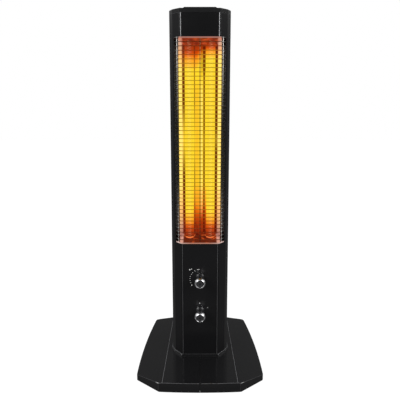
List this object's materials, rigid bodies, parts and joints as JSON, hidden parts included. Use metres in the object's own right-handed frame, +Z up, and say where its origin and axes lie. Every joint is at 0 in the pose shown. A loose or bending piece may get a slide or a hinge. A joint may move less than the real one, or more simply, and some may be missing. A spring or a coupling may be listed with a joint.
{
  "type": "infrared patio heater tower",
  "caption": "Floor-standing infrared patio heater: a tall faceted column with two vertical lamps behind a bent-wire guard, two turned knobs and a weighted octagonal base.",
  "frame": {"origin": "on the floor, under the middle of the base's outline", "axes": "+X to the heater's left side as it faces forward, -Y is the front with lamps and knobs, +Z is up"},
  "size_m": [0.326, 0.369, 0.924],
  "materials": {
    "back_paint": "satin black powder coat",
    "ballast_steel": "black oxide steel plate",
    "base_plastic": "gloss black moulded plastic",
    "cap_plastic": "satin black moulded plastic",
    "column_paint": "satin black powder coat",
    "control_plastic": "black phenolic housing",
    "filament_carbon": "glowing filament",
    "foot_rubber": "black moulded rubber",
    "gland_plastic": "black polyamide",
    "guard_wire": "nickel plated wire, darkened by heat",
    "knob_chrome": "bright chrome, turned",
    "lamp_ceramic": "unglazed white ceramic",
    "panel_paint": "gloss black lacquer on sheet",
    "quartz": "clear fused quartz",
    "reflector_sheet": "bright anodised reflector sheet",
    "shaft_brass": "machined brass",
    "terminal_plastic": "white polyamide",
    "zinc_steel": "zinc plated steel"
  },
  "bodies": {
    "heater": {"back_panel": "back_paint", "ballast_plate": "ballast_steel", "base_left_half": "base_plastic", "base_right_half": "base_plastic", "base_screws": "zinc_steel", "cable_gland": "gland_plastic", "column_left_side": "column_paint", "column_right_side": "column_paint", "control_panel": "panel_paint", "foot_bracket": "zinc_steel", "gland_locknut": "gland_plastic", "head_panel": "panel_paint", "heat_shield": "zinc_steel", "lamp_end_caps": "lamp_ceramic", "left_filament": "filament_carbon", "left_lamp_tube": "quartz", "lower_lamp_holder": "zinc_steel", "lower_reflector_end": "reflector_sheet", "power_switch_body": "control_plastic", "power_switch_nut": "zinc_steel", "reflector": "reflector_sheet", "right_filament": "filament_carbon", "right_lamp_tube": "quartz", "rubber_feet": "foot_rubber", "terminal_block": "terminal_plastic", "thermal_cutout": "zinc_steel", "thermostat_body": "control_plastic", "thermostat_nut": "zinc_steel", "tip_over_switch": "control_plastic", "top_cap": "cap_plastic", "upper_lamp_holder": "zinc_steel", "upper_reflector_end": "reflector_sheet", "wire_guard": "guard_wire"},
    "thermostat": {"thermostat_knob": "knob_chrome", "thermostat_shaft": "shaft_brass"},
    "power_switch": {"power_switch_knob": "knob_chrome", "power_switch_shaft": "shaft_brass"}
  },
  "joints": [
    {"name": "thermostat_turn", "type": "hinge", "parent": "heater", "child": "thermostat", "pos_m": [0, -0.067, 0.2515], "axis": [0, 1, 0], "range_deg": [0, 120]},
    {"name": "power_switch_turn", "type": "hinge", "parent": "heater", "child": "power_switch", "pos_m": [0, -0.067, 0.158], "axis": [0, 1, 0], "range_deg": [0, 60]}
  ]
}
